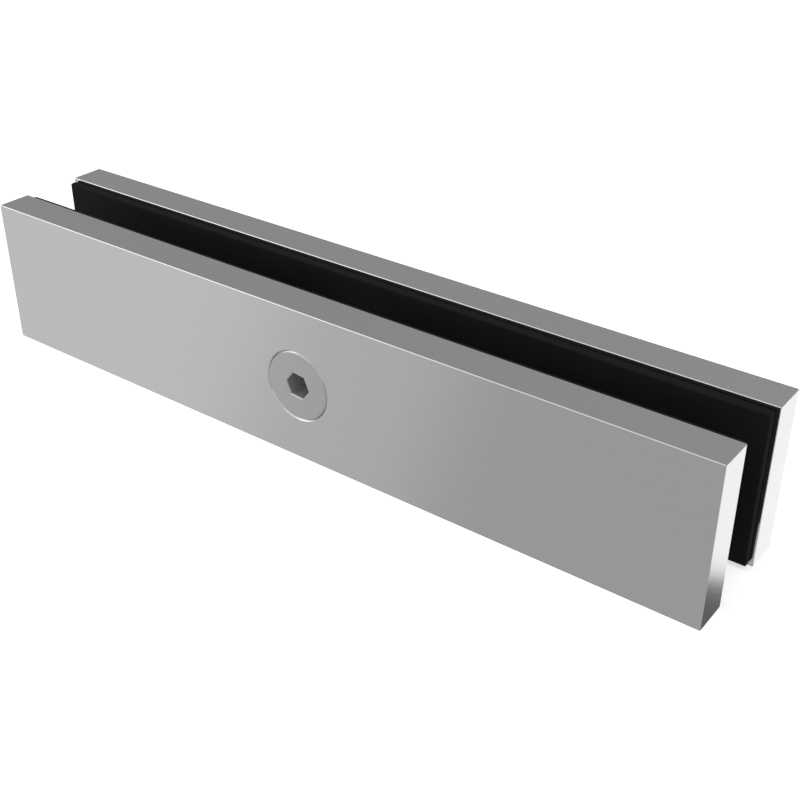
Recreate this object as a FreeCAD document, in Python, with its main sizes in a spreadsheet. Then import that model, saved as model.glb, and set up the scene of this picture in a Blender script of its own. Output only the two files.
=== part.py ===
import FreeCAD, Part
import os
import Sketcher

# Glass clamp: two flat steel bars with rubber pads that grip a pane of glass between them.
# One countersunk screw in the front bar pulls it towards a threaded sleeve in the back bar.
# The sleeve and the nylon bush on it pass through a round hole in the glass.
#
# Millimetres. +X runs along the bars, +Y from the front bar to the back bar, and +Z up.
# The origin lies under the middle of the clamp, on the surface that the bars stand on.

SIZES = {
    # the two bars
    "plate_length": 180,
    "plate_height": 34,
    "plate_thickness": 8,
    "plate_bevel": 0.12,
    # the pane that the clamp is set for, and how far the screw can still close it
    "glass_thickness": 10,
    "closing_travel": 2,
    # the rubber pads
    "gasket_thickness": 2,
    "gasket_inset": 0.8,
    "gasket_rounding": 0.4,
    # the countersunk screw
    "screw_diameter": 8,
    "head_diameter": 15.2,
    "head_land": 0.4,
    "rim_bevel": 0.25,
    "point_bevel": 1,
    "socket_width": 5,
    "socket_depth": 5.3,
    "socket_bevel": 0.25,
    "socket_turn": 7,
    # the threaded sleeve in the back bar
    "sleeve_diameter": 12,
    "sleeve_shoulder": 0.7,
    "sleeve_bevel": 0.4,
    "back_wall": 1.8,
    # the nylon bush over the sleeve
    "bush_wall": 1.4,
    "bush_bevel": 0.3,
    # clearances
    "head_clearance": 0.05,
    "seat_clearance": 0.06,
    "shank_clearance": 0.5,
    "thread_clearance": 0.05,
    "tip_clearance": 1,
    "floor_clearance": 0.2,
    "bush_clearance": 0.1,
    "bush_end_clearance": 0.5,
    "sleeve_setback": 0.5,
    "pad_hole_clearance": 1,
}

# Radii, lengths and places that follow from the sizes
GAP = "(Sizes.glass_thickness + 2 * Sizes.gasket_thickness)"
OUTER_FACE = f"({GAP} / 2 + Sizes.plate_thickness)"
MIDDLE_HEIGHT = "(Sizes.plate_height / 2)"
SHANK_RADIUS = "(Sizes.screw_diameter / 2)"
HEAD_RADIUS = "(Sizes.head_diameter / 2)"
THREAD_RADIUS = f"({SHANK_RADIUS} + Sizes.thread_clearance)"
HOLE_RADIUS = f"({SHANK_RADIUS} + Sizes.shank_clearance)"
MOUTH_RADIUS = f"({HEAD_RADIUS} + Sizes.head_clearance)"
SLEEVE_RADIUS = "(Sizes.sleeve_diameter / 2)"
SEAT_RADIUS = f"({SLEEVE_RADIUS} - Sizes.sleeve_shoulder)"
BUSH_BORE_RADIUS = f"({SLEEVE_RADIUS} + Sizes.bush_clearance)"
BUSH_RADIUS = f"({BUSH_BORE_RADIUS} + Sizes.bush_wall)"
BUSH_LENGTH = f"({GAP} - Sizes.closing_travel - Sizes.bush_end_clearance)"
SLEEVE_REACH = f"({BUSH_LENGTH} - Sizes.sleeve_setback)"
SEAT_DEPTH = "(Sizes.plate_thickness - Sizes.back_wall - Sizes.floor_clearance)"
SLEEVE_LENGTH = f"({SLEEVE_REACH} + {SEAT_DEPTH})"
SCREW_LENGTH = (
    f"(Sizes.plate_thickness + {GAP} + {SEAT_DEPTH}"
    " - Sizes.closing_travel - Sizes.tip_clearance)"
)

# A piece modelled along its own Z lies along the clamp's Y. One for the back is turned about.
ALONG_Y = FreeCAD.Rotation(FreeCAD.Vector(1, 0, 0), -90)
FACING_BACK = FreeCAD.Rotation(FreeCAD.Vector(0, 0, 1), 180)
FACING_FRONT = FreeCAD.Rotation()

SIX_SIDES = 6
FLAT = 1e-6


def size_sheet(doc):
    """Write every driving size into the document's sheet, one row each."""
    sheet = doc.addObject("Spreadsheet::Sheet", "Sizes")
    for row, (name, value) in enumerate(SIZES.items(), start=1):
        sheet.set(f"A{row}", name)
        sheet.set(f"B{row}", str(value))
        sheet.setAlias(f"B{row}", name)
    doc.recompute()
    return sheet


def new_body(doc, label, turn, place_y, place_z="0"):
    """Start a sub-part at its place in the clamp."""
    body = doc.addObject("PartDesign::Body", label)
    body.Label = label
    body.Placement = FreeCAD.Placement(FreeCAD.Vector(), turn)
    body.setExpression(".Placement.Base.y", place_y)
    body.setExpression(".Placement.Base.z", place_z)
    return body


def new_sketch(body, purpose, plane, raised="0"):
    """Attach a sketch to one of the body's own planes, its origin raised along the sketch's Y."""
    sketch = body.newObject("Sketcher::SketchObject", f"{body.Label}_{purpose}")
    planes = {feature.Role: feature for feature in body.Origin.OriginFeatures}
    sketch.AttachmentSupport = [(planes[plane], "")]
    sketch.MapMode = "FlatFace"
    sketch.setExpression(".AttachmentOffset.Base.y", raised)
    return sketch


def bind(sketch, constraint, name, expression):
    """Add a constraint and tie its value to the sheet."""
    number = sketch.addConstraint(constraint)
    sketch.renameConstraint(number, name)
    sketch.setExpression(f"Constraints.{name}", expression)


def draw_outline(sketch, corners):
    """Draw a closed outline of straight lines. Each corner is a pair of expressions."""
    sheet = sketch.Document.Sizes
    values = [[float(sheet.evalExpression(e)) for e in corner] for corner in corners]
    points = [FreeCAD.Vector(across, along, 0) for across, along in values]
    for here, there in zip(points, points[1:] + points[:1]):
        sketch.addGeometry(Part.LineSegment(here, there), False)
    for line, (across, along) in enumerate(corners):
        sketch.addConstraint(
            Sketcher.Constraint("Coincident", line - 1 if line else len(corners) - 1, 2, line, 1)
        )
        for kind, expression, value in zip(
            ("DistanceX", "DistanceY"), (across, along), values[line]
        ):
            if expression == "0":
                axis = -2 if kind == "DistanceX" else -1
                sketch.addConstraint(Sketcher.Constraint("PointOnObject", line, 1, axis))
            else:
                distance = Sketcher.Constraint(kind, -1, 1, line, 1, value)
                bind(sketch, distance, f"corner_{line}_{kind[-1].lower()}", expression)


def draw_circle(sketch, radius):
    """Draw a circle about the sketch's origin."""
    value = float(sketch.Document.Sizes.evalExpression(radius))
    centre, normal = FreeCAD.Vector(), FreeCAD.Vector(0, 0, 1)
    sketch.addGeometry(Part.Circle(centre, normal, value), False)
    sketch.addConstraint(Sketcher.Constraint("Coincident", 0, 3, -1, 1))
    bind(sketch, Sketcher.Constraint("Radius", 0, value), "radius", radius)


def extrude(body, kind, sketch, length, reverse):
    """Pad or pocket a sketch to a length along its normal, or the other way if reversed."""
    feature = body.newObject(f"PartDesign::{kind}", f"{sketch.Name}_{kind.lower()}")
    feature.Profile = sketch
    feature.Reversed = reverse
    feature.setExpression("Length", length)
    body.Document.recompute()
    return feature


def turn_about(body, kind, sketch, axis):
    """Revolve or groove a sketch a full turn about one of its own axes."""
    feature = body.newObject(f"PartDesign::{kind}", f"{sketch.Name}_{kind.lower()}")
    feature.Profile = sketch
    feature.ReferenceAxis = (sketch, [axis])
    feature.Angle = 360
    body.Document.recompute()
    return feature


def ease_edges(body, kind, base, edges, size):
    """Chamfer or fillet the named edges of the feature before."""
    feature = body.newObject(f"PartDesign::{kind}", f"{base.Name}_{kind.lower()}")
    feature.Base = (base, edges)
    feature.setExpression("Size" if kind == "Chamfer" else "Radius", size)
    body.Document.recompute()
    return feature


def straight_edges_at(feature, direction, height):
    """Name the straight edges that lie whole at one height along a direction."""
    names = []
    for number, edge in enumerate(feature.Shape.Edges, start=1):
        ends = [vertex.Point.dot(direction) for vertex in edge.Vertexes]
        level = all(abs(end - height) < FLAT for end in ends)
        if level and isinstance(edge.Curve, Part.Line):
            names.append(f"Edge{number}")
    return names


def make_bar(doc, label, turn, place_y, hole):
    """Mill a flat bar with bevelled edges and cut its middle hole, a profile turned about Y.

    The bar's outer face lies on its own XZ plane, and its thickness grows towards the glass.
    """
    body = new_body(doc, label, turn, place_y)
    face = new_sketch(body, "face", "XZ_Plane")
    half = "Sizes.plate_length / 2"
    high = "Sizes.plate_height"
    draw_outline(face, [(f"-{half}", "0"), (half, "0"), (half, high), (f"-{half}", high)])
    bar = extrude(body, "Pad", face, "Sizes.plate_thickness", reverse=True)
    every_edge = [f"Edge{n}" for n in range(1, len(bar.Shape.Edges) + 1)]
    ease_edges(body, "Chamfer", bar, every_edge, "Sizes.plate_bevel")
    profile = new_sketch(body, "hole", "YZ_Plane", raised=MIDDLE_HEIGHT)
    draw_outline(profile, hole)
    turn_about(body, "Groove", profile, "H_Axis")
    return body


def make_front_plate(doc):
    """The front bar has a countersunk hole, whose bevelled rim lies flush round the screw head."""
    seat_start = "Sizes.head_land + Sizes.seat_clearance - Sizes.head_clearance"
    seat_end = f"Sizes.head_land + Sizes.seat_clearance + {HEAD_RADIUS} - {HOLE_RADIUS}"
    inner_face = "Sizes.plate_thickness"
    hole = [
        ("0", "0"),
        ("0", f"{MOUTH_RADIUS} + Sizes.rim_bevel"),
        ("Sizes.rim_bevel", MOUTH_RADIUS),
        (seat_start, MOUTH_RADIUS),
        (seat_end, HOLE_RADIUS),
        (f"{inner_face} - Sizes.plate_bevel", HOLE_RADIUS),
        (inner_face, f"{HOLE_RADIUS} + Sizes.plate_bevel"),
        (inner_face, "0"),
    ]
    return make_bar(doc, "front_plate", FACING_FRONT, f"-{OUTER_FACE}", hole)


def make_back_plate(doc):
    """The back bar has a blind bore for the sleeve, so that its outer face stays plain."""
    inner_face = "Sizes.plate_thickness"
    hole = [
        ("Sizes.back_wall", "0"),
        ("Sizes.back_wall", SEAT_RADIUS),
        (f"{inner_face} - Sizes.plate_bevel", SEAT_RADIUS),
        (inner_face, f"{SEAT_RADIUS} + Sizes.plate_bevel"),
        (inner_face, "0"),
    ]
    return make_bar(doc, "back_plate", FACING_BACK, OUTER_FACE, hole)


def make_gasket(doc, label, turn, place_y):
    """Mould a rubber pad a little smaller than its bar, with a rounded edge on the glass side."""
    body = new_body(doc, label, turn, place_y)
    face = new_sketch(body, "face", "XZ_Plane")
    side = "(Sizes.plate_length / 2 - Sizes.gasket_inset)"
    low = "Sizes.gasket_inset"
    high = "Sizes.plate_height - Sizes.gasket_inset"
    draw_outline(face, [(f"-{side}", low), (side, low), (side, high), (f"-{side}", high)])
    pad = extrude(body, "Pad", face, "Sizes.gasket_thickness", reverse=True)
    glass_side = float(doc.Sizes.gasket_thickness)
    rim = straight_edges_at(pad, FreeCAD.Vector(0, 1, 0), glass_side)
    ease_edges(body, "Fillet", pad, rim, "Sizes.gasket_rounding")
    hole = new_sketch(body, "hole", "XZ_Plane", raised=MIDDLE_HEIGHT)
    draw_circle(hole, f"{BUSH_RADIUS} + Sizes.pad_hole_clearance")
    extrude(body, "Pocket", hole, "Sizes.gasket_thickness", reverse=False)
    return body


def make_clamp_screw(doc):
    """Turn the countersunk screw, then sink its hexagon socket.

    It is modelled down its own Z from the top of the head, and the socket ends in a drill point.
    """
    body = new_body(doc, "clamp_screw", ALONG_Y, f"-{OUTER_FACE}", MIDDLE_HEIGHT)
    profile = new_sketch(body, "profile", "XZ_Plane")
    corners = [
        ("0", "0"),
        (f"{HEAD_RADIUS} - Sizes.rim_bevel", "0"),
        (HEAD_RADIUS, "Sizes.rim_bevel"),
        (HEAD_RADIUS, "Sizes.head_land"),
        (SHANK_RADIUS, f"Sizes.head_land + {HEAD_RADIUS} - {SHANK_RADIUS}"),
        (SHANK_RADIUS, f"{SCREW_LENGTH} - Sizes.point_bevel"),
        (f"{SHANK_RADIUS} - Sizes.point_bevel", SCREW_LENGTH),
        ("0", SCREW_LENGTH),
    ]
    draw_outline(profile, corners)
    turn_about(body, "Revolution", profile, "V_Axis")

    drill = new_sketch(body, "drill", "XZ_Plane")
    drill_radius = "Sizes.socket_width / 2"
    corners = [
        ("0", "0"),
        (drill_radius, "0"),
        (drill_radius, "Sizes.socket_depth"),
        ("0", f"Sizes.socket_depth + {drill_radius} * tan(30 deg)"),
    ]
    draw_outline(drill, corners)
    turn_about(body, "Groove", drill, "V_Axis")

    hexagon = new_sketch(body, "hexagon", "XY_Plane")
    corner_radius = "Sizes.socket_width / 2 / cos(30 deg)"
    angles = [f"(Sizes.socket_turn + {n} * 60) * 1 deg" for n in range(SIX_SIDES)]
    corners = [(f"{corner_radius} * cos({a})", f"{corner_radius} * sin({a})") for a in angles]
    draw_outline(hexagon, corners)
    socket = extrude(body, "Pocket", hexagon, "Sizes.socket_depth", reverse=True)
    mouth = straight_edges_at(socket, FreeCAD.Vector(0, 0, 1), 0)
    ease_edges(body, "Chamfer", socket, mouth, "Sizes.socket_bevel")
    return body


def make_threaded_sleeve(doc):
    """Turn the sleeve: a shoulder seats on the back bar, and a thinner end fills its bore."""
    place_y = f"{GAP} / 2 - {SLEEVE_REACH}"
    body = new_body(doc, "threaded_sleeve", ALONG_Y, place_y, MIDDLE_HEIGHT)
    profile = new_sketch(body, "profile", "XZ_Plane")
    corners = [
        (f"{THREAD_RADIUS} + Sizes.sleeve_bevel", "0"),
        (f"{SLEEVE_RADIUS} - Sizes.sleeve_bevel", "0"),
        (SLEEVE_RADIUS, "Sizes.sleeve_bevel"),
        (SLEEVE_RADIUS, SLEEVE_REACH),
        (SEAT_RADIUS, SLEEVE_REACH),
        (SEAT_RADIUS, f"{SLEEVE_LENGTH} - Sizes.sleeve_bevel"),
        (f"{SEAT_RADIUS} - Sizes.sleeve_bevel", SLEEVE_LENGTH),
        (THREAD_RADIUS, SLEEVE_LENGTH),
        (THREAD_RADIUS, "Sizes.sleeve_bevel"),
    ]
    draw_outline(profile, corners)
    turn_about(body, "Revolution", profile, "V_Axis")
    return body


def make_glass_bush(doc):
    """Turn the nylon bush, which stands on the back bar and reaches through the glass."""
    place_y = f"{GAP} / 2 - {BUSH_LENGTH}"
    body = new_body(doc, "glass_bush", ALONG_Y, place_y, MIDDLE_HEIGHT)
    profile = new_sketch(body, "profile", "XZ_Plane")
    corners = [
        (f"{BUSH_BORE_RADIUS} + Sizes.bush_bevel", "0"),
        (f"{BUSH_RADIUS} - Sizes.bush_bevel", "0"),
        (BUSH_RADIUS, "Sizes.bush_bevel"),
        (BUSH_RADIUS, f"{BUSH_LENGTH} - Sizes.bush_bevel"),
        (f"{BUSH_RADIUS} - Sizes.bush_bevel", BUSH_LENGTH),
        (BUSH_BORE_RADIUS, BUSH_LENGTH),
        (BUSH_BORE_RADIUS, "Sizes.bush_bevel"),
    ]
    draw_outline(profile, corners)
    turn_about(body, "Revolution", profile, "V_Axis")
    return body


def check(doc, bodies):
    """Stop if anything failed to build, if a cut removed nothing, or if a piece isn't one solid."""
    cuts = ("Pocket", "Groove", "Chamfer", "Fillet")
    for item in doc.Objects:
        if "Invalid" in item.State or "Error" in item.State:
            raise RuntimeError(f"{item.Label} failed to build: {item.State}")
        kind = item.TypeId.split("::")[1]
        if kind in cuts and item.Shape.Volume >= item.BaseFeature.Shape.Volume:
            raise RuntimeError(f"{item.Label} removes nothing")
    for body in bodies:
        shape = body.Shape
        if shape.isNull() or not shape.isValid() or len(shape.Solids) != 1:
            raise RuntimeError(f"{body.Label} isn't one valid solid")


doc = FreeCAD.newDocument("glass_clamp")
size_sheet(doc)
bodies = [
    make_front_plate(doc),
    make_back_plate(doc),
    make_gasket(doc, "front_gasket", FACING_FRONT, f"-{GAP} / 2"),
    make_gasket(doc, "back_gasket", FACING_BACK, f"{GAP} / 2"),
    make_clamp_screw(doc),
    make_threaded_sleeve(doc),
    make_glass_bush(doc),
]
doc.recompute()
check(doc, bodies)

os.makedirs("parts", exist_ok=True)
for body in bodies:
    body.Shape.exportStep(f"parts/{body.Label}.step")
    box = body.Shape.BoundBox
    print(
        f"{body.Label}: x {box.XMin:.2f} to {box.XMax:.2f}, y {box.YMin:.2f} to {box.YMax:.2f},"
        f" z {box.ZMin:.2f} to {box.ZMax:.2f}, volume {body.Shape.Volume:.1f}"
    )
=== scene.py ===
from math import cos, floor, pi, radians, sin, tan

import bmesh
import bpy
from mathutils import Matrix, Vector


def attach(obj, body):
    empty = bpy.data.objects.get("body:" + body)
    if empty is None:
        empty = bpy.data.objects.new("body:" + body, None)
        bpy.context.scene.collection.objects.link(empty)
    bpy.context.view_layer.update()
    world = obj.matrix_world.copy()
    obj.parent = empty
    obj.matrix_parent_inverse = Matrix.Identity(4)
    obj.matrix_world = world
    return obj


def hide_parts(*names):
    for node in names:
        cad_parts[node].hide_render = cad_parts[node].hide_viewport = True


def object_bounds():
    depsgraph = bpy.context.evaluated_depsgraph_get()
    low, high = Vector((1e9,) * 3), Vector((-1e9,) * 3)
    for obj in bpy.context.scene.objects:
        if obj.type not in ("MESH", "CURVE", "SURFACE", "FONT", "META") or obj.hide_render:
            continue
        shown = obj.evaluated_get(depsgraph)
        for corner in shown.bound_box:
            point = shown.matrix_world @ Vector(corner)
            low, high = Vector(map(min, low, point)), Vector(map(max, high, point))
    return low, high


# A clamp for a glass pane: two flat steel bars lined with rubber, drawn together by one
# countersunk screw. Metres, in the clamp's own frame: +X along the bars, +Y from the front
# bar to the back bar, +Z up.
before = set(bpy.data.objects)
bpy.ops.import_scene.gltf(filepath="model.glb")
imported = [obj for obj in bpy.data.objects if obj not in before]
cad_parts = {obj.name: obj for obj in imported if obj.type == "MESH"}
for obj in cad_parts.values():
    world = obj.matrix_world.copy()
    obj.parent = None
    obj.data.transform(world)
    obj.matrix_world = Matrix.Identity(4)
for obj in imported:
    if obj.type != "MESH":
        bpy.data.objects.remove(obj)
cad_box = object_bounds()


# The two steel bars
# Cold-drawn stainless flats, milled to length, their edges broken with a fine bevel, and then
# ground and dressed along their length to a smooth satin. Both stay as they are drawn.

BAR_COLOUR = (0.60, 0.60, 0.605)
BAR_ROUGHNESS = 0.10
BAR_GRAIN = (60, 2500, 2500)
CLOUD_SCALE = 45.0
CLOUD_SHARE = 0.6
FINEST_POLISH = 0.8
DULLEST_POLISH = 1.25
TONE_SPREAD = 0.025
GRIND_DEPTH = 0.00001


def new_finish(name):
    """Start a material with an empty node tree, and return it with its nodes and a linker."""
    finish = bpy.data.materials.new(name)
    finish.use_nodes = True
    tree = finish.node_tree
    tree.nodes.clear()
    return finish, tree.nodes, tree.links.new


def add_node(nodes, kind, **settings):
    """Add a shader node. Settings are its own, and those with a capital are its inputs."""
    node = nodes.new(f"ShaderNode{kind}")
    for name, value in settings.items():
        if name[0].isupper():
            node.inputs[name.replace("_", " ")].default_value = value
        else:
            setattr(node, name, value)
    return node


def ground_steel(name, colour, roughness, grain):
    """Satin steel: fine grinding lines, a slow change in polish and a slight bump."""
    finish, nodes, link = new_finish(name)
    place = add_node(nodes, "TexCoord")
    along = add_node(nodes, "Mapping", Scale=grain)
    lines = add_node(nodes, "TexNoise", Scale=1.0, Detail=3.0, Roughness=0.6)
    clouds = add_node(nodes, "TexNoise", Scale=CLOUD_SCALE, Detail=2.0, Roughness=0.5)
    mixed = add_node(nodes, "Math", operation="MULTIPLY_ADD")
    mixed.inputs[1].default_value = CLOUD_SHARE
    polish = add_node(
        nodes,
        "MapRange",
        To_Min=roughness * FINEST_POLISH,
        To_Max=roughness * DULLEST_POLISH,
    )
    shade = add_node(nodes, "Mix", data_type="RGBA")
    darker = [part * (1 - TONE_SPREAD) for part in colour]
    paler = [part * (1 + TONE_SPREAD) for part in colour]
    shade.inputs["A"].default_value = (*darker, 1)
    shade.inputs["B"].default_value = (*paler, 1)
    bump = add_node(nodes, "Bump", Strength=0.02, Distance=GRIND_DEPTH)
    steel = add_node(nodes, "BsdfPrincipled", Metallic=1.0)
    out = add_node(nodes, "OutputMaterial")
    link(place.outputs["Object"], along.inputs["Vector"])
    link(along.outputs["Vector"], lines.inputs["Vector"])
    link(place.outputs["Object"], clouds.inputs["Vector"])
    link(clouds.outputs["Fac"], mixed.inputs[0])
    link(lines.outputs["Fac"], mixed.inputs[2])
    link(mixed.outputs["Value"], polish.inputs["Value"])
    link(polish.outputs["Result"], steel.inputs["Roughness"])
    link(lines.outputs["Fac"], shade.inputs["Factor"])
    link(shade.outputs["Result"], steel.inputs["Base Color"])
    link(lines.outputs["Fac"], bump.inputs["Height"])
    link(bump.outputs["Normal"], steel.inputs["Normal"])
    link(steel.outputs["BSDF"], out.inputs["Surface"])
    return finish


def dress(node, finish):
    """Give a drawn piece its finish."""
    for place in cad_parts[node].material_slots:
        place.material = finish


bar_steel = ground_steel("bar_steel", BAR_COLOUR, BAR_ROUGHNESS, BAR_GRAIN)
dress("front_plate", bar_steel)
dress("back_plate", bar_steel)


# The rubber pads
# One pad of black rubber, 2 mm thick, is bonded to the inner face of each bar, a little inside
# its outline. Its edges are moulded round, so that a dark line is left along the bar. A hole
# in the middle clears the bush.

MM = 0.001
BAR_END = cad_box[1][0]
BAR_TOP = cad_box[1][2]
MIDDLE_HEIGHT = BAR_TOP / 2
PAD_INSET = 0.8 * MM
PAD_THICKNESS = 2 * MM
PAD_BACK = 7 * MM
PAD_HOLE = 8.5 * MM
PAD_ROUNDING = 0.4 * MM
PAD_BACK_ROUNDING = 0.3 * MM
PAD_HOLE_ROUNDING = 0.25 * MM
ROUNDING_STEPS = 6
RING_EDGES = 96
ASIDE = 5 * MM
RUBBER_DARK = (0.008, 0.008, 0.0083)
RUBBER_PALE = (0.013, 0.013, 0.0134)


def finished(mesh, name, finish, body):
    """Turn a mesh into a piece of the clamp that moves with a body."""
    data = bpy.data.meshes.new(name)
    mesh.to_mesh(data)
    mesh.free()
    piece = bpy.data.objects.new(name, data)
    bpy.context.collection.objects.link(piece)
    data.materials.append(finish)
    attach(piece, body)
    return piece


def join_rings(mesh, rings):
    """Skin a row of closed rings, each to the next.

    Rings may lie level with each other, so each is held aside while it is joined.
    """
    for here, there in zip(rings, rings[1:]):
        held = list({vert for edge in there for vert in edge.verts})
        bmesh.ops.translate(mesh, vec=(0, 0, ASIDE), verts=held)
        bmesh.ops.bridge_loops(mesh, edges=here + there)
        bmesh.ops.translate(mesh, vec=(0, 0, -ASIDE), verts=held)


def shade_by_angle(mesh, angle):
    """Smooth the faces, and keep the edges sharper than an angle crisp."""
    for face in mesh.faces:
        face.smooth = True
    for edge in mesh.edges:
        edge.smooth = len(edge.link_faces) == 2 and edge.calc_face_angle() < angle


def matt_rubber():
    """Black moulded rubber with a fine, faintly cloudy grain."""
    finish, nodes, link = new_finish("pad_rubber")
    place = add_node(nodes, "TexCoord")
    grain = add_node(nodes, "TexNoise", Scale=5200.0, Detail=3.0, Roughness=0.65)
    clouds = add_node(nodes, "TexNoise", Scale=120.0, Detail=3.0, Roughness=0.6)
    shade = add_node(nodes, "Mix", data_type="RGBA")
    shade.inputs["A"].default_value = (*RUBBER_DARK, 1)
    shade.inputs["B"].default_value = (*RUBBER_PALE, 1)
    matt = add_node(nodes, "MapRange", To_Min=0.6, To_Max=0.8)
    bump = add_node(nodes, "Bump", Strength=0.15, Distance=0.00003)
    rubber = add_node(nodes, "BsdfPrincipled", Specular_IOR_Level=0.08)
    out = add_node(nodes, "OutputMaterial")
    link(place.outputs["Object"], grain.inputs["Vector"])
    link(place.outputs["Object"], clouds.inputs["Vector"])
    link(clouds.outputs["Fac"], shade.inputs["Factor"])
    link(shade.outputs["Result"], rubber.inputs["Base Color"])
    link(clouds.outputs["Fac"], matt.inputs["Value"])
    link(matt.outputs["Result"], rubber.inputs["Roughness"])
    link(grain.outputs["Fac"], bump.inputs["Height"])
    link(bump.outputs["Normal"], rubber.inputs["Normal"])
    link(rubber.outputs["BSDF"], out.inputs["Surface"])
    return finish


pad_rubber = matt_rubber()


def rubber_pad(name, side, body):
    """Mould one pad. Its back lies on the bar at side * PAD_BACK, and it faces the glass."""
    mesh = bmesh.new()
    half_length = BAR_END - PAD_INSET
    half_height = MIDDLE_HEIGHT - PAD_INSET
    upright = Matrix.Rotation(radians(90), 4, "X")
    lift = Matrix.Translation((0, 0, MIDDLE_HEIGHT))
    grid = bmesh.ops.create_grid(mesh, x_segments=1, y_segments=1, size=1)
    bmesh.ops.scale(mesh, vec=(half_length, half_height, 1), verts=grid["verts"])
    bmesh.ops.delete(mesh, geom=mesh.faces[:], context="FACES_ONLY")
    bmesh.ops.subdivide_edges(mesh, edges=mesh.edges[:], cuts=RING_EDGES // 4 - 1)
    outline = mesh.edges[:]
    hole = bmesh.ops.create_circle(mesh, segments=RING_EDGES, radius=PAD_HOLE)["verts"]
    inner = list({edge for vert in hole for edge in vert.link_edges})
    join_rings(mesh, [outline, inner])
    back = mesh.faces[:]
    grown = bmesh.ops.extrude_face_region(mesh, geom=back)["geom"]
    front = [part for part in grown if isinstance(part, bmesh.types.BMVert)]
    bmesh.ops.translate(mesh, vec=(0, 0, side * PAD_THICKNESS), verts=front)
    bmesh.ops.transform(mesh, matrix=lift @ upright, verts=mesh.verts[:])
    bmesh.ops.translate(mesh, vec=(0, side * PAD_BACK, 0), verts=mesh.verts[:])
    bmesh.ops.recalc_face_normals(mesh, faces=mesh.faces[:])
    middle = Vector((0, 0, MIDDLE_HEIGHT))
    sharp = [edge for edge in mesh.edges if edge.calc_face_angle(0) > radians(60)]
    hole_rim, back_rim, glass_rim = [], [], []
    for edge in sharp:
        start, end = (vert.co for vert in edge.verts)
        if abs(start.y - end.y) > PAD_THICKNESS / 2:
            continue
        spot = Vector((start.x, 0, start.z))
        if (spot - middle).length < PAD_HOLE + MM:
            hole_rim.append(edge)
        elif abs(start.y) > PAD_BACK - PAD_THICKNESS / 2:
            back_rim.append(edge)
        else:
            glass_rim.append(edge)
    sizes = (PAD_ROUNDING, PAD_BACK_ROUNDING, PAD_HOLE_ROUNDING)
    for edges, size in zip((glass_rim, back_rim, hole_rim), sizes):
        bmesh.ops.bevel(
            mesh,
            geom=edges,
            offset=size,
            affect="EDGES",
            segments=ROUNDING_STEPS,
            profile=0.5,
            material=-1,
        )
    shade_by_angle(mesh, radians(40))
    return finished(mesh, name, pad_rubber, body)


front_pad = rubber_pad("front_pad", -1, "front_half")
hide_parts("front_gasket")
back_pad = rubber_pad("back_pad", 1, "back_half")
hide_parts("back_gasket")


# The clamp screw
# A countersunk screw of stainless steel, M8 with a 5 mm hexagon socket, its rim and the
# socket's mouth lightly bevelled. It is turned, the socket is broached over a drilled hole,
# and the thread is rolled. It lies flush with the front bar.

PITCH = 1.25 * MM
TURN_STEPS = 48
FLANK_SLOPE = tan(radians(30))
FRONT_FACE = -15 * MM
HEAD_RADIUS = 7.63 * MM
HEAD_LAND = 0.4 * MM
RIM_BEVEL = 0.25 * MM
SHANK_RADIUS = 4 * MM
SCREW_ROOT = 3.25 * MM
SCREW_LENGTH = 25 * MM
SCREW_THREAD = (5.6 * MM, 24.3 * MM)
THREAD_RUNOUT = 0.3 * MM
POINT_RADIUS = 3.05 * MM
SOCKET_WIDTH = 5 * MM
SOCKET_RADIUS = SOCKET_WIDTH / 2 / cos(radians(30))
SOCKET_DEPTH = 5.3 * MM
SOCKET_BEVEL = 0.2 * MM
SOCKET_TURN = radians(-23)
DRILL_RADIUS = SOCKET_WIDTH / 2 - 0.0125 * MM
DRILL_DEPTH = SOCKET_WIDTH / 2 * tan(radians(30))
SCREW_COLOUR = (0.51, 0.51, 0.515)
SCREW_ROUGHNESS = 0.13
SCREW_GRAIN = (900, 900, 900)
BROACH_DARK = (0.40, 0.40, 0.405)
BROACH_PALE = (0.50, 0.50, 0.505)
BROACH_GRAIN = (5000, 300, 5000)
ALONG_Y = Matrix.Rotation(radians(-90), 4, "X")


def open_ring(mesh, radius, height, turn=0, sides=RING_EDGES):
    """Lay a ring of edges round the screw's axis. Fewer sides are divided to as many edges."""
    ring = bmesh.ops.create_circle(mesh, segments=sides, radius=radius)["verts"]
    place = Matrix.Translation((0, 0, height)) @ Matrix.Rotation(turn, 4, "Z")
    bmesh.ops.transform(mesh, matrix=place, verts=ring)
    edges = list({edge for vert in ring for edge in vert.link_edges})
    if sides < RING_EDGES:
        cut = bmesh.ops.subdivide_edges(mesh, edges=edges, cuts=RING_EDGES // sides - 1)
        edges = [part for part in cut["geom"] if isinstance(part, bmesh.types.BMEdge)]
    return edges


def open_ends(mesh, height):
    """Find the open edges at one height."""
    level = [e for e in mesh.edges if all(abs(v.co.z - height) < 1e-7 for v in e.verts)]
    return [edge for edge in level if len(edge.link_faces) == 1]


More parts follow.
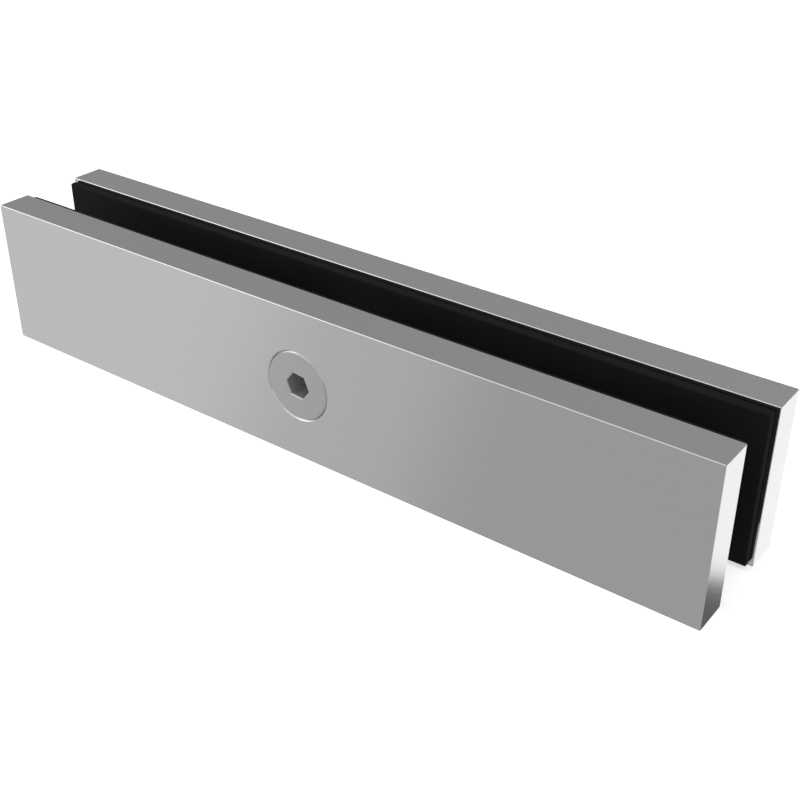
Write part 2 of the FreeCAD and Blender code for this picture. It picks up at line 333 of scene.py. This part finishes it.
def screw_thread(mesh, valley, ridge, ends, ridge_at):
    """Sweep one pitch of the profile along the screw line, and cut it square at both ends.

    A ridge's middle crosses the plane of X and Z at ridge_at, and at each pitch from there.
    """
    start, end = ends
    first = ridge_at + PITCH * (floor((start - ridge_at) / PITCH) - 2)
    half_crest = PITCH / 16
    flank = abs(ridge - valley) * FLANK_SLOPE
    profile = [
        (valley, -PITCH / 2),
        (valley, -half_crest - flank),
        (ridge, -half_crest),
        (ridge, half_crest),
        (valley, half_crest + flank),
        (valley, PITCH / 2),
    ]
    line = [mesh.verts.new((radius, 0, first + height)) for radius, height in profile]
    edges = [mesh.edges.new(pair) for pair in zip(line, line[1:])]
    turns = int((end - start) / PITCH) + 4
    before = set(mesh.verts) - set(line)
    bmesh.ops.spin(
        mesh,
        geom=line + edges,
        cent=(0, 0, 0),
        axis=(0, 0, 1),
        dvec=(0, 0, PITCH / TURN_STEPS),
        angle=2 * pi * turns,
        steps=TURN_STEPS * turns,
        use_duplicate=False,
    )
    swept = [vert for vert in mesh.verts if vert not in before]
    bmesh.ops.remove_doubles(mesh, verts=swept, dist=1e-7)
    for height, outer, inner in ((start, False, True), (end, True, False)):
        bmesh.ops.bisect_plane(
            mesh,
            geom=mesh.verts[:] + mesh.edges[:] + mesh.faces[:],
            plane_co=(0, 0, height),
            plane_no=(0, 0, 1),
            clear_outer=outer,
            clear_inner=inner,
        )
    return open_ends(mesh, start), open_ends(mesh, end)


def broached_steel():
    """Duller steel for the socket's walls, with broach marks along the screw."""
    finish, nodes, link = new_finish("broached_steel")
    place = add_node(nodes, "TexCoord")
    along = add_node(nodes, "Mapping", Scale=BROACH_GRAIN)
    marks = add_node(nodes, "TexNoise", Scale=1.0, Detail=2.0, Roughness=0.5)
    shade = add_node(nodes, "Mix", data_type="RGBA")
    shade.inputs["A"].default_value = (*BROACH_DARK, 1)
    shade.inputs["B"].default_value = (*BROACH_PALE, 1)
    dull = add_node(nodes, "MapRange", To_Min=0.45, To_Max=0.6)
    bump = add_node(nodes, "Bump", Strength=0.1, Distance=0.00002)
    steel = add_node(nodes, "BsdfPrincipled", Metallic=0.65)
    out = add_node(nodes, "OutputMaterial")
    link(place.outputs["Object"], along.inputs["Vector"])
    link(along.outputs["Vector"], marks.inputs["Vector"])
    link(marks.outputs["Fac"], shade.inputs["Factor"])
    link(shade.outputs["Result"], steel.inputs["Base Color"])
    link(marks.outputs["Fac"], dull.inputs["Value"])
    link(dull.outputs["Result"], steel.inputs["Roughness"])
    link(marks.outputs["Fac"], bump.inputs["Height"])
    link(bump.outputs["Normal"], steel.inputs["Normal"])
    link(steel.outputs["BSDF"], out.inputs["Surface"])
    return finish


def make_screw(finish):
    """Turn the head and point, roll the thread, and sink the hexagon socket."""
    mesh = bmesh.new()
    near, far = screw_thread(
        mesh, SCREW_ROOT, SHANK_RADIUS, SCREW_THREAD, ridge_at=-FRONT_FACE
    )
    cone_end = HEAD_LAND + HEAD_RADIUS - SHANK_RADIUS
    rim = [
        open_ring(mesh, HEAD_RADIUS - RIM_BEVEL, 0),
        open_ring(mesh, HEAD_RADIUS, RIM_BEVEL),
        open_ring(mesh, HEAD_RADIUS, HEAD_LAND),
        open_ring(mesh, SHANK_RADIUS, cone_end),
        open_ring(mesh, SHANK_RADIUS, SCREW_THREAD[0] - THREAD_RUNOUT),
    ]
    wider = SOCKET_BEVEL / cos(radians(30))
    socket = [
        open_ring(mesh, SOCKET_RADIUS + wider, 0, SOCKET_TURN, sides=6),
        open_ring(mesh, SOCKET_RADIUS, SOCKET_BEVEL, SOCKET_TURN, sides=6),
        open_ring(mesh, SOCKET_RADIUS, SOCKET_DEPTH, SOCKET_TURN, sides=6),
        open_ring(mesh, DRILL_RADIUS, SOCKET_DEPTH, SOCKET_TURN),
    ]
    point = open_ring(mesh, POINT_RADIUS, SCREW_LENGTH)
    join_rings(mesh, socket[::-1] + rim + [near])
    join_rings(mesh, [far, point])
    cap = bmesh.ops.extrude_edge_only(mesh, edges=point)
    tip = [part for part in cap["geom"] if isinstance(part, bmesh.types.BMVert)]
    bmesh.ops.pointmerge(mesh, verts=tip, merge_co=(0, 0, SCREW_LENGTH))
    drill = bmesh.ops.extrude_edge_only(mesh, edges=socket[3])
    bottom = [part for part in drill["geom"] if isinstance(part, bmesh.types.BMVert)]
    deepest = SOCKET_DEPTH + DRILL_DEPTH
    bmesh.ops.pointmerge(mesh, verts=bottom, merge_co=(0, 0, deepest))
    for face in mesh.faces:
        spot = face.calc_center_median()
        inside = spot.xy.length < SOCKET_RADIUS and spot.z < deepest
        face.material_index = int(inside and spot.z > SOCKET_BEVEL)
    bmesh.ops.transform(mesh, matrix=ALONG_Y, verts=mesh.verts[:])
    bmesh.ops.translate(mesh, vec=(0, FRONT_FACE, MIDDLE_HEIGHT), verts=mesh.verts[:])
    bmesh.ops.recalc_face_normals(mesh, faces=mesh.faces[:])
    shade_by_angle(mesh, radians(30))
    return finished(mesh, "countersunk_screw", finish, "screw")


screw_steel = ground_steel("screw_steel", SCREW_COLOUR, SCREW_ROUGHNESS, SCREW_GRAIN)
countersunk_screw = make_screw(screw_steel)
countersunk_screw.data.materials.append(broached_steel())
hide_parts("clamp_screw")


# The threaded sleeve
# A turned stainless sleeve, pressed into the back bar up to its shoulder. The screw runs in
# its thread, which is cut from end to end, and both of its mouths are bevelled.

SLEEVE_MOUTH = -4 * MM
SLEEVE_LENGTH = 17 * MM
SLEEVE_REACH = 11 * MM
SLEEVE_RADIUS = 6 * MM
SEAT_RADIUS = 5.3 * MM
SLEEVE_BEVEL = 0.4 * MM
SLEEVE_BORE = 3.4 * MM
SLEEVE_ROOT = 4.05 * MM
SLEEVE_THREAD = (0.7 * MM, 16.3 * MM)
SLEEVE_COLOUR = (0.58, 0.58, 0.59)
SLEEVE_ROUGHNESS = 0.22
SLEEVE_GRAIN = (400, 9000, 400)


def make_sleeve(finish):
    """Turn the sleeve with its shoulder, and cut its thread from end to end."""
    mesh = bmesh.new()
    near, far = screw_thread(
        mesh, SLEEVE_BORE, SLEEVE_ROOT, SLEEVE_THREAD, ridge_at=-SLEEVE_MOUTH
    )
    outside = [
        open_ring(mesh, SLEEVE_ROOT + SLEEVE_BEVEL, 0),
        open_ring(mesh, SLEEVE_RADIUS - SLEEVE_BEVEL, 0),
        open_ring(mesh, SLEEVE_RADIUS, SLEEVE_BEVEL),
        open_ring(mesh, SLEEVE_RADIUS, SLEEVE_REACH),
        open_ring(mesh, SEAT_RADIUS, SLEEVE_REACH),
        open_ring(mesh, SEAT_RADIUS, SLEEVE_LENGTH - SLEEVE_BEVEL),
        open_ring(mesh, SEAT_RADIUS - SLEEVE_BEVEL, SLEEVE_LENGTH),
        open_ring(mesh, SLEEVE_ROOT + SLEEVE_BEVEL / 2, SLEEVE_LENGTH),
    ]
    join_rings(mesh, [near] + outside + [far])
    bmesh.ops.transform(mesh, matrix=ALONG_Y, verts=mesh.verts[:])
    bmesh.ops.translate(mesh, vec=(0, SLEEVE_MOUTH, MIDDLE_HEIGHT), verts=mesh.verts[:])
    bmesh.ops.recalc_face_normals(mesh, faces=mesh.faces[:])
    shade_by_angle(mesh, radians(30))
    return finished(mesh, "pressed_sleeve", finish, "back_half")


sleeve_steel = ground_steel("sleeve_steel", SLEEVE_COLOUR, SLEEVE_ROUGHNESS, SLEEVE_GRAIN)
pressed_sleeve = make_sleeve(sleeve_steel)
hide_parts("threaded_sleeve")


# The glass bush
# A plain turned bush of natural nylon over the sleeve, which keeps the metal off the edge of
# the hole in the glass. It stays as it is drawn, and turning has left faint rings on it.

NYLON_DARK = (0.78, 0.765, 0.71)
NYLON_PALE = (0.84, 0.83, 0.785)


def turned_nylon():
    """Off-white nylon, a little waxy, with faint tool rings along Y."""
    finish, nodes, link = new_finish("bush_nylon")
    place = add_node(nodes, "TexCoord")
    rings = add_node(nodes, "TexWave", Scale=900.0, Distortion=0.3, Detail=1.0)
    rings.bands_direction = "Y"
    clouds = add_node(nodes, "TexNoise", Scale=160.0, Detail=2.0)
    shade = add_node(nodes, "Mix", data_type="RGBA")
    shade.inputs["A"].default_value = (*NYLON_DARK, 1)
    shade.inputs["B"].default_value = (*NYLON_PALE, 1)
    matt = add_node(nodes, "MapRange", To_Min=0.36, To_Max=0.5)
    bump = add_node(nodes, "Bump", Strength=0.2, Distance=0.00002)
    nylon = add_node(nodes, "BsdfPrincipled")
    out = add_node(nodes, "OutputMaterial")
    link(place.outputs["Object"], rings.inputs["Vector"])
    link(place.outputs["Object"], clouds.inputs["Vector"])
    link(clouds.outputs["Fac"], shade.inputs["Factor"])
    link(shade.outputs["Result"], nylon.inputs["Base Color"])
    link(clouds.outputs["Fac"], matt.inputs["Value"])
    link(matt.outputs["Result"], nylon.inputs["Roughness"])
    link(rings.outputs["Fac"], bump.inputs["Height"])
    link(bump.outputs["Normal"], nylon.inputs["Normal"])
    link(nylon.outputs["BSDF"], out.inputs["Surface"])
    return finish


dress("glass_bush", turned_nylon())


# Studio: floor, dome, lamp and camera
# A plain white floor that keeps a soft shadow, under a pale dome. Metal sees the dome, also
# below the floor, and it is graded as a light tent is: paler to the left and behind.

FLOOR_REACH = 3.0
FLOOR_COLOUR = (0.85, 0.85, 0.85)
FLOOR_LIFT = 0.62
floor_mesh = bmesh.new()
bmesh.ops.create_grid(floor_mesh, x_segments=8, y_segments=8, size=FLOOR_REACH)
floor_data = bpy.data.meshes.new("studio_floor")
floor_mesh.to_mesh(floor_data)
floor_mesh.free()
studio_floor = bpy.data.objects.new("studio_floor", floor_data)
bpy.context.collection.objects.link(studio_floor)

paper, nodes, link = new_finish("white_paper")
ray = add_node(nodes, "LightPath")
matt_white = add_node(nodes, "BsdfDiffuse", Color=(*FLOOR_COLOUR, 1))
lift = add_node(nodes, "Emission", Color=(1, 1, 1, 1), Strength=FLOOR_LIFT)
seen = add_node(nodes, "AddShader")
by_camera = add_node(nodes, "MixShader")
through = add_node(nodes, "BsdfTransparent")
metal_or_glass = add_node(nodes, "Math", operation="MAXIMUM")
by_metal = add_node(nodes, "MixShader")
out = add_node(nodes, "OutputMaterial")
link(matt_white.outputs["BSDF"], seen.inputs[0])
link(lift.outputs["Emission"], seen.inputs[1])
link(ray.outputs["Is Camera Ray"], by_camera.inputs["Fac"])
link(matt_white.outputs["BSDF"], by_camera.inputs[1])
link(seen.outputs["Shader"], by_camera.inputs[2])
link(ray.outputs["Is Glossy Ray"], metal_or_glass.inputs[0])
link(ray.outputs["Is Transmission Ray"], metal_or_glass.inputs[1])
link(metal_or_glass.outputs["Value"], by_metal.inputs["Fac"])
link(by_camera.outputs["Shader"], by_metal.inputs[1])
link(through.outputs["BSDF"], by_metal.inputs[2])
link(by_metal.outputs["Shader"], out.inputs["Surface"])
floor_data.materials.append(paper)

dome = bpy.data.worlds.new("studio_dome")
bpy.context.scene.world = dome
dome.use_nodes = True
nodes = dome.node_tree.nodes
nodes.clear()
link = dome.node_tree.links.new
towards = add_node(nodes, "TexCoord")
parts = add_node(nodes, "SeparateXYZ")
link(towards.outputs["Generated"], parts.inputs["Vector"])


def eased(source, start, end, low=0.0, high=1.0):
    """Ease from one level to another as a part of the direction goes from start to end."""
    node = add_node(nodes, "MapRange", interpolation_type="SMOOTHSTEP")
    link(source, node.inputs["Value"])
    values = {"From Min": start, "From Max": end, "To Min": low, "To Max": high}
    for name, value in values.items():
        node.inputs[name].default_value = value
    return node.outputs["Result"]


def blend(share, below, above):
    """Mix two levels of the dome."""
    node = add_node(nodes, "Mix", data_type="FLOAT")
    link(share, node.inputs["Factor"])
    for name, level in (("A", below), ("B", above)):
        if isinstance(level, (int, float)):
            node.inputs[name].default_value = level
        else:
            link(level, node.inputs[name])
    return node.outputs["Result"]


def total(first, second):
    """Add two levels of the dome."""
    node = add_node(nodes, "Math", operation="ADD")
    link(first, node.inputs[0])
    link(second, node.inputs[1])
    return node.outputs["Value"]


rightward, backward, upward = parts.outputs["X"], parts.outputs["Y"], parts.outputs["Z"]

# The front face sees the dome low in front, which darkens in two steps from the left.
low_front = total(
    eased(rightward, -0.65, -0.57, low=0.815, high=0.665),
    total(
        eased(rightward, -0.53, -0.44, low=0.0, high=-0.145),
        eased(rightward, -0.20, 0.35, low=0.0, high=0.03),
    ),
)

# The ends see it low behind, pale above a sharp edge and dark below it.
behind = total(
    eased(rightward, -0.80, 0.20, low=-0.45, high=0.0),
    eased(upward, -0.50, -0.10, low=1.29, high=0.75),
)
low_back = blend(eased(upward, -0.615, -0.602), 0.13, behind)
sideways = blend(eased(backward, -0.15, 0.2), low_front, low_back)
lower = blend(eased(upward, -0.93, -0.76), 0.55, sideways)

# The tops see it high behind. The bevels see it high in front, with a soft glow to the left.
GLOW = (-0.80, -0.36, 0.48)
high_back = eased(rightward, -0.8, 0.3, low=0.38, high=0.47)
towards_glow = add_node(nodes, "VectorMath", operation="DOT_PRODUCT")
towards_glow.inputs[1].default_value = GLOW
link(towards.outputs["Generated"], towards_glow.inputs[0])
nearness = towards_glow.outputs["Value"]
high_front = total(
    eased(rightward, -0.25, 0.05, low=0.45, high=0.78),
    total(
        eased(nearness, 0.4, 0.9, low=0.0, high=0.7),
        eased(nearness, 0.88, 1.0, low=0.0, high=0.65),
    ),
)
upper = blend(eased(backward, -0.25, 0.15), high_front, high_back)
level = blend(eased(upward, 0.0, 0.2), lower, upper)
light = add_node(nodes, "Background", Color=(1, 1, 1, 1))
link(level, light.inputs["Strength"])
white = add_node(nodes, "Background", Color=(1, 1, 1, 1), Strength=1.0)
ray = add_node(nodes, "LightPath")
shown = add_node(nodes, "MixShader")
out = add_node(nodes, "OutputWorld")
link(ray.outputs["Is Camera Ray"], shown.inputs["Fac"])
link(light.outputs["Background"], shown.inputs[1])
link(white.outputs["Background"], shown.inputs[2])
link(shown.outputs["Shader"], out.inputs["Surface"])

LAMP_AT = Vector((-0.30, -0.10, 1.15))
LAMP_SIZE = 0.7
LAMP_POWER = 2.0
lamp_data = bpy.data.lights.new("soft_box", "AREA")
lamp_data.shape = "SQUARE"
lamp_data.size = LAMP_SIZE
lamp_data.energy = LAMP_POWER
soft_box = bpy.data.objects.new("soft_box", lamp_data)
soft_box.location = LAMP_AT
soft_box.rotation_euler = (-LAMP_AT).to_track_quat("-Z", "Y").to_euler()
bpy.context.collection.objects.link(soft_box)

# The camera stands as the photo's did. It is turned about Z, and then tipped down.
CAMERA_AT = Vector((0.14712, -0.17583, 0.14289))
CAMERA_TURN = radians(-37.005)
CAMERA_DIP = radians(30.759)
CAMERA_LENS = 56.16
CAMERA_SENSOR = 36
CAMERA_NEAREST = 0.01
CAMERA_FARTHEST = 20
camera_data = bpy.data.cameras.new("photo_camera")
camera_data.lens = CAMERA_LENS
camera_data.sensor_width = CAMERA_SENSOR
camera_data.clip_start = CAMERA_NEAREST
camera_data.clip_end = CAMERA_FARTHEST
photo_camera = bpy.data.objects.new("photo_camera", camera_data)
looking = Vector(
    (
        cos(CAMERA_DIP) * sin(CAMERA_TURN),
        cos(CAMERA_DIP) * cos(CAMERA_TURN),
        -sin(CAMERA_DIP),
    )
)
photo_camera.location = CAMERA_AT
photo_camera.rotation_euler = looking.to_track_quat("-Z", "Y").to_euler()
bpy.context.collection.objects.link(photo_camera)
bpy.context.scene.camera = photo_camera
bpy.context.scene.view_settings.view_transform = "Standard"
